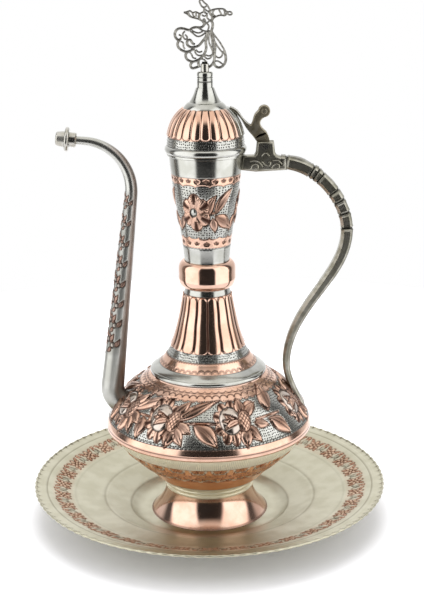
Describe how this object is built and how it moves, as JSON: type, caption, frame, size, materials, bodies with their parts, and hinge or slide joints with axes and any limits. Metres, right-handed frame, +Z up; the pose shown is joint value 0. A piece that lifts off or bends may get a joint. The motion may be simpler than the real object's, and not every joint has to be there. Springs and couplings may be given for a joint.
{
  "type": "lidded ewer with basin",
  "caption": "Tall tinned copper ewer with a swan-neck spout, looped cast handle, hinged domed lid and openwork dancer finial, standing in a wide shallow basin.",
  "frame": {"origin": "middle of the basin's underside, on the jug's axis", "axes": "+Z up along the jug's axis, +X towards the handle, -X towards the spout"},
  "size_m": [0.3, 0.3, 0.4358],
  "materials": {
    "tray_tin": "pale tinned copper, engraved, satin",
    "tinned_copper": "bright tinned copper with chased copper bands",
    "polished_copper": "polished copper",
    "tinned_casting": "bright tinned brass",
    "dark_casting": "oxidised cast brass with bright bevels",
    "dark_wire": "oxidised openwork with bright edges"
  },
  "bodies": {
    "basin": {"tray_dish": "tray_tin"},
    "jug": {"foot_flare": "polished_copper", "foot_collar": "tinned_copper", "lower_bowl": "tinned_copper", "upper_body": "tinned_copper", "lower_neck": "tinned_copper", "neck_ring": "polished_copper", "upper_neck": "tinned_copper", "spout_tube": "tinned_copper", "spout_nozzle": "tinned_casting", "handle": "dark_casting", "hinge_pin": "tinned_casting"},
    "lid": {"lid_dome": "polished_copper", "lid_sleeve": "tinned_copper", "lid_cone": "tinned_copper", "lid_lever": "dark_casting", "finial_sleeve": "tinned_casting", "finial_spindle": "tinned_casting", "finial_nut": "tinned_casting", "finial_figure": "dark_wire"},
    "stopper": {"spout_cap": "tinned_casting"}
  },
  "joints": [
    {"name": "jug_lift", "type": "slide", "parent": "basin", "child": "jug", "axis": [0, 0, 1], "range_m": [0, 0.06]},
    {"name": "lid_hinge", "type": "hinge", "parent": "jug", "child": "lid", "pos_m": [0.0481, 0, 0.317], "axis": [0, 1, 0], "range_deg": [0, 85]},
    {"name": "cap_pull", "type": "slide", "parent": "jug", "child": "stopper", "axis": [-0.9954, 0, 0.0958], "range_m": [0, 0.012]}
  ]
}
